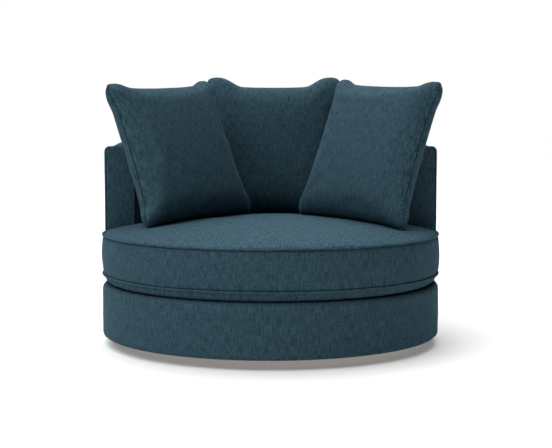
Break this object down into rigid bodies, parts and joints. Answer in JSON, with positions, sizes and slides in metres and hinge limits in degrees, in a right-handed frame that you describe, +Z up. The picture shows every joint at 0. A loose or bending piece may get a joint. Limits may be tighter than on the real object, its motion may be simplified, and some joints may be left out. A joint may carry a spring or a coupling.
{
  "type": "cuddle chair",
  "caption": "Round swivelling cuddle chair: drum base, barrel shell for back and arms, boxed round seat cushion and loose square pillows.",
  "frame": {"origin": "on the floor, under the middle of the drum and of its swivel", "axes": "+Z up, the front of the chair faces -Y, +X to the right of somebody who looks at its front"},
  "size_m": [1.245, 1.2416, 0.9848],
  "materials": {
    "upholstery_cloth": "woven petrol blue cloth with fine upright slubs",
    "deck_cloth": "dark lining cloth",
    "foam": "cut foam",
    "fibre_filling": "white fibre",
    "glide_felt": "pressed felt",
    "board": "bare plywood and bent board",
    "timber": "planed softwood",
    "spring_steel": "black oiled steel",
    "zinc_steel": "bright zinc plate",
    "zip_nylon": "nylon coil zip"
  },
  "bodies": {
    "floor_base": {"glide_1": "glide_felt", "glide_2": "glide_felt", "glide_3": "glide_felt", "glide_4": "glide_felt", "glide_5": "glide_felt", "glide_6": "glide_felt", "floor_disc": "board", "lower_race": "zinc_steel", "lower_screw_1": "zinc_steel", "lower_screw_2": "zinc_steel", "lower_screw_3": "zinc_steel", "lower_screw_4": "zinc_steel", "king_bolt": "spring_steel", "king_washer": "zinc_steel", "king_nut": "zinc_steel"},
    "ball_cage": {"ball_cage": "zinc_steel"},
    "chair": {"upper_race": "zinc_steel", "upper_screw_1": "zinc_steel", "upper_screw_2": "zinc_steel", "upper_screw_3": "zinc_steel", "upper_screw_4": "zinc_steel", "bottom_board": "board", "drum_post_1": "timber", "drum_post_2": "timber", "drum_post_3": "timber", "drum_post_4": "timber", "drum_post_5": "timber", "drum_post_6": "timber", "deck_ring": "board", "front_spring_rail": "timber", "back_spring_rail": "timber", "zigzag_spring_1": "spring_steel", "zigzag_spring_2": "spring_steel", "zigzag_spring_3": "spring_steel", "zigzag_spring_4": "spring_steel", "zigzag_spring_5": "spring_steel", "drum_hoop": "board", "drum_foam": "foam", "drum_cover": "upholstery_cloth", "deck_cloth": "deck_cloth", "shell_post_1": "timber", "shell_post_2": "timber", "shell_post_3": "timber", "shell_post_4": "timber", "shell_post_5": "timber", "shell_top_rail": "timber", "shell_board": "board", "shell_foam": "foam", "shell_inner_foam": "foam", "shell_cover": "upholstery_cloth"},
    "seat_cushion": {"seat_cover": "upholstery_cloth", "seat_foam": "foam", "seat_zip": "zip_nylon"},
    "back_pillow": {"back_pillow_cover": "upholstery_cloth", "back_pillow_filling": "fibre_filling"},
    "left_pillow": {"left_pillow_cover": "upholstery_cloth", "left_pillow_filling": "fibre_filling"},
    "right_pillow": {"right_pillow_cover": "upholstery_cloth", "right_pillow_filling": "fibre_filling"}
  },
  "joints": [
    {"name": "swivel", "type": "hinge", "parent": "floor_base", "child": "chair", "pos_m": [0, 0, 0.028], "axis": [0, 0, 1], "continuous": true},
    {"name": "cage_spin", "type": "hinge", "parent": "floor_base", "child": "ball_cage", "pos_m": [0, 0, 0.028], "axis": [0, 0, 1], "continuous": true},
    {"name": "seat_lift", "type": "slide", "parent": "chair", "child": "seat_cushion", "axis": [0, 0, 1], "range_m": [0, 0.52]},
    {"name": "back_pillow_lift", "type": "slide", "parent": "seat_cushion", "child": "back_pillow", "axis": [0, 0, 1], "range_m": [0, 0.35]},
    {"name": "left_pillow_lift", "type": "slide", "parent": "back_pillow", "child": "left_pillow", "axis": [0, 0, 1], "range_m": [0, 0.5]},
    {"name": "right_pillow_lift", "type": "slide", "parent": "back_pillow", "child": "right_pillow", "axis": [0, 0, 1], "range_m": [0, 0.5]}
  ],
  "couplings": [
    {"joint": "cage_spin", "follows": "swivel", "ratio": 0.5}
  ]
}
